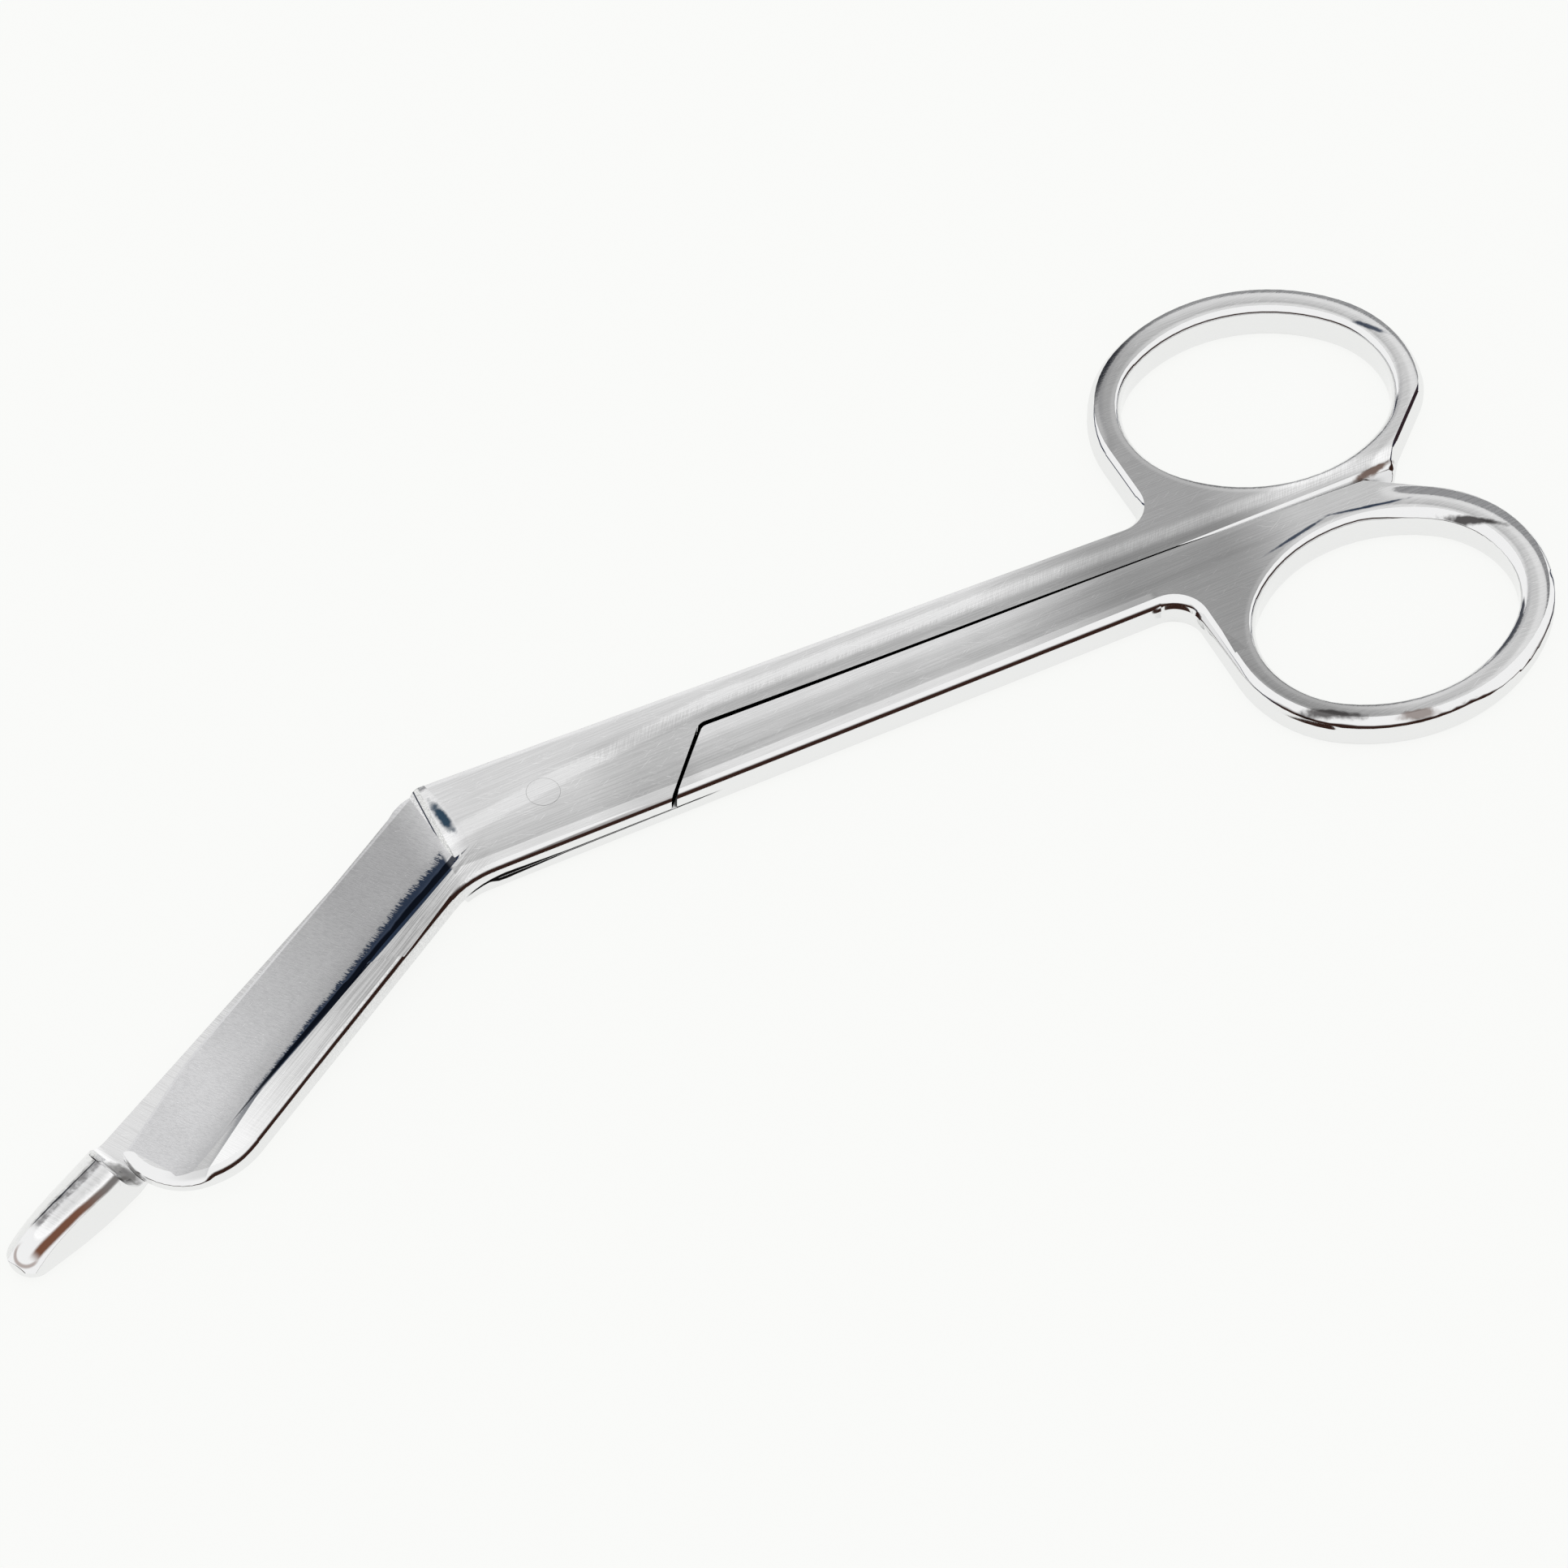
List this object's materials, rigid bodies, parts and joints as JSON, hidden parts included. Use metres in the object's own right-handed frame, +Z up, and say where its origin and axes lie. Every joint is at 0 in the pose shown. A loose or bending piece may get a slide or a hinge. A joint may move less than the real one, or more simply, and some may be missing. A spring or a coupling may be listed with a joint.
{
  "type": "bandage scissors",
  "caption": "Angled bandage scissors with a blunt upper blade, a probe-tipped lower blade and two oval finger rings, pivoting on a slotted screw.",
  "frame": {"origin": "middle of the closed scissors, on the table face they lie on; the pivot axis is at x = -14.77 mm, y = -0.05 mm", "axes": "+X from the blades towards the finger rings, +Z up from the table along the pivot axis towards the joint's upper face, +Y towards the ring of the half with the blunt blade"},
  "size_m": [0.1404, 0.0507, 0.0036],
  "materials": {
    "steel": "satin flats, polished sides"
  },
  "bodies": {
    "probe": {"probe_half": "steel"},
    "blunt": {"blunt_half": "steel", "pivot_screw": "steel"}
  },
  "joints": [
    {"name": "pivot", "type": "hinge", "parent": "probe", "child": "blunt", "pos_m": [-0.01477, -0.00005, 0], "axis": [0, 0, 1], "range_deg": [0, 65]}
  ]
}
